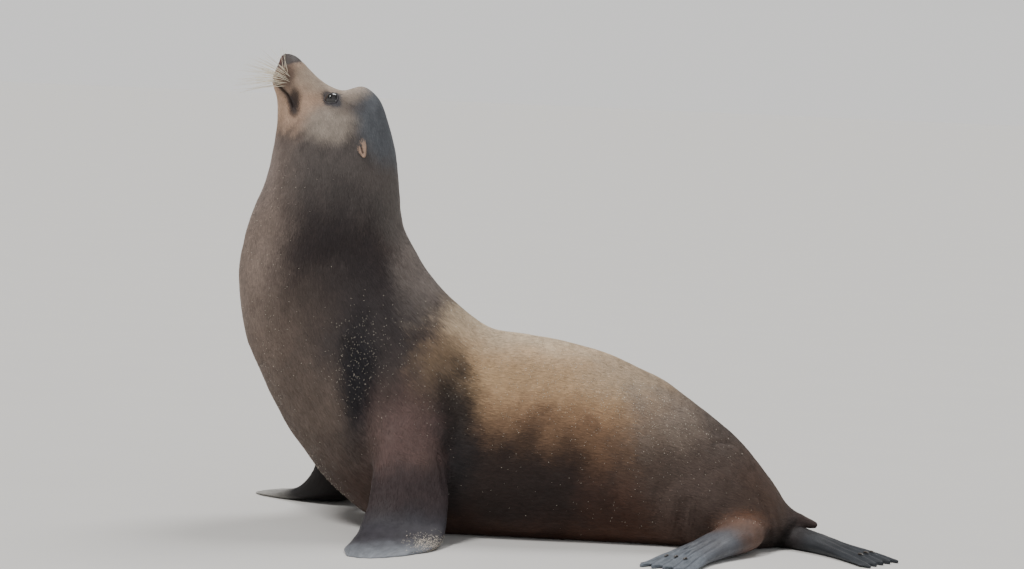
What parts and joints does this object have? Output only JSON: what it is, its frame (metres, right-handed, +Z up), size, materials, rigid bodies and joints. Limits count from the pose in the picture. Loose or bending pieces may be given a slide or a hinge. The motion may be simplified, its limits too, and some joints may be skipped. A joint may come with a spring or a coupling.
{
  "type": "sea lion",
  "caption": "Life-size bull sea lion at rest on its belly, chest raised on the fore flippers, head and nose thrown up.",
  "frame": {"origin": "on the floor under the middle of the whole animal's box", "axes": "the animal faces -X, its left side faces -Y, +Z is up; the floor is z = 0"},
  "size_m": [1.6495, 1.0937, 1.1714],
  "materials": {
    "fur_dark": "short wet-looking fur, dark grey brown",
    "fur_tan": "short dry fur, golden tan to grey brown",
    "fur_brown": "short fur, rusty dark brown",
    "flipper_skin": "bare blue-grey hide, dull sheen",
    "nose_skin": "black moist hide",
    "eye_wet": "wet, glossy, nearly black",
    "claw_horn": "dark horn",
    "whisker_hair": "stiff pale cream hair"
  },
  "bodies": {
    "root": {"nose": "nose_skin", "muzzle": "fur_tan", "lower_jaw": "fur_tan", "head": "fur_dark", "left_eye": "eye_wet", "right_eye": "eye_wet", "left_ear": "fur_tan", "right_ear": "fur_tan", "neck": "fur_dark", "chest": "fur_dark", "trunk": "fur_tan", "hindquarters": "fur_brown", "tail": "fur_brown", "left_forelimb": "fur_brown", "left_fore_flipper": "flipper_skin", "right_forelimb": "fur_brown", "right_fore_flipper": "flipper_skin", "left_hind_leg": "fur_brown", "left_hind_flipper": "flipper_skin", "right_hind_leg": "fur_brown", "right_hind_flipper": "flipper_skin", "left_hind_claw_2": "claw_horn", "left_hind_claw_3": "claw_horn", "left_hind_claw_4": "claw_horn", "right_hind_claw_2": "claw_horn", "right_hind_claw_3": "claw_horn", "right_hind_claw_4": "claw_horn"}
  },
  "joints": []
}
